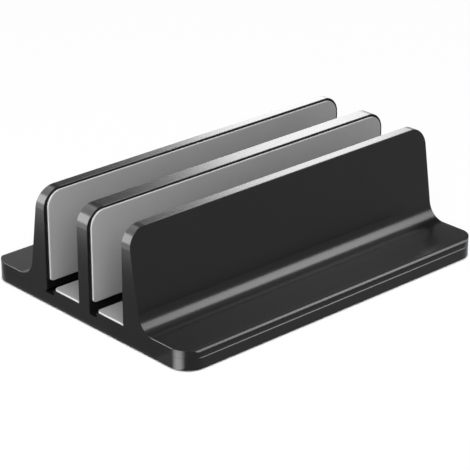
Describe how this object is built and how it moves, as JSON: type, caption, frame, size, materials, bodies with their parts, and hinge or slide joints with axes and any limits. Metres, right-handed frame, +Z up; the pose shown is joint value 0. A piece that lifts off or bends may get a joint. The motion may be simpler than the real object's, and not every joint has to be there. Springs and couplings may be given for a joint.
{
  "type": "vertical laptop stand",
  "caption": "Low desktop stand that holds closed laptops upright, side by side in padded slots. Its outer uprights slide across the base plate to set each slot's width.",
  "frame": {"origin": "on the desk, under the middle of the stand", "axes": "+X across the slots towards the wing whose slot floor is its own foot plate, +Y along the slots, +Z up"},
  "size_m": [0.1474, 0.2, 0.0603],
  "materials": {
    "black_metal": "fine bead-blasted and black anodised, satin",
    "grey_silicone": "smooth matt mid-grey silicone sheet",
    "black_rubber": "matt black anti-slip rubber",
    "plated_steel": "bright zinc plated",
    "blackened_steel": "black oxide, lightly oiled"
  },
  "bodies": {
    "base": {"base_plate": "black_metal", "middle_upright": "black_metal", "middle_left_pad": "grey_silicone", "middle_right_pad": "grey_silicone", "left_slot_floor_pad": "grey_silicone", "foot_pad_left_front": "black_rubber", "foot_pad_right_front": "black_rubber", "foot_pad_left_back": "black_rubber", "foot_pad_right_back": "black_rubber", "middle_washers": "plated_steel", "middle_screws": "blackened_steel"},
    "left_slider": {"left_upright": "black_metal", "left_upright_pad": "grey_silicone", "left_washers": "plated_steel", "left_screws": "blackened_steel"},
    "right_slider": {"right_upright": "black_metal", "right_upright_pad": "grey_silicone", "right_slot_floor_pad": "grey_silicone", "right_washers": "plated_steel", "right_screws": "blackened_steel"}
  },
  "joints": [
    {"name": "left_slot_width", "type": "slide", "parent": "base", "child": "left_slider", "axis": [1, 0, 0], "range_m": [0, 0.005]},
    {"name": "right_slot_width", "type": "slide", "parent": "base", "child": "right_slider", "axis": [-1, 0, 0], "range_m": [0, 0.005]}
  ]
}
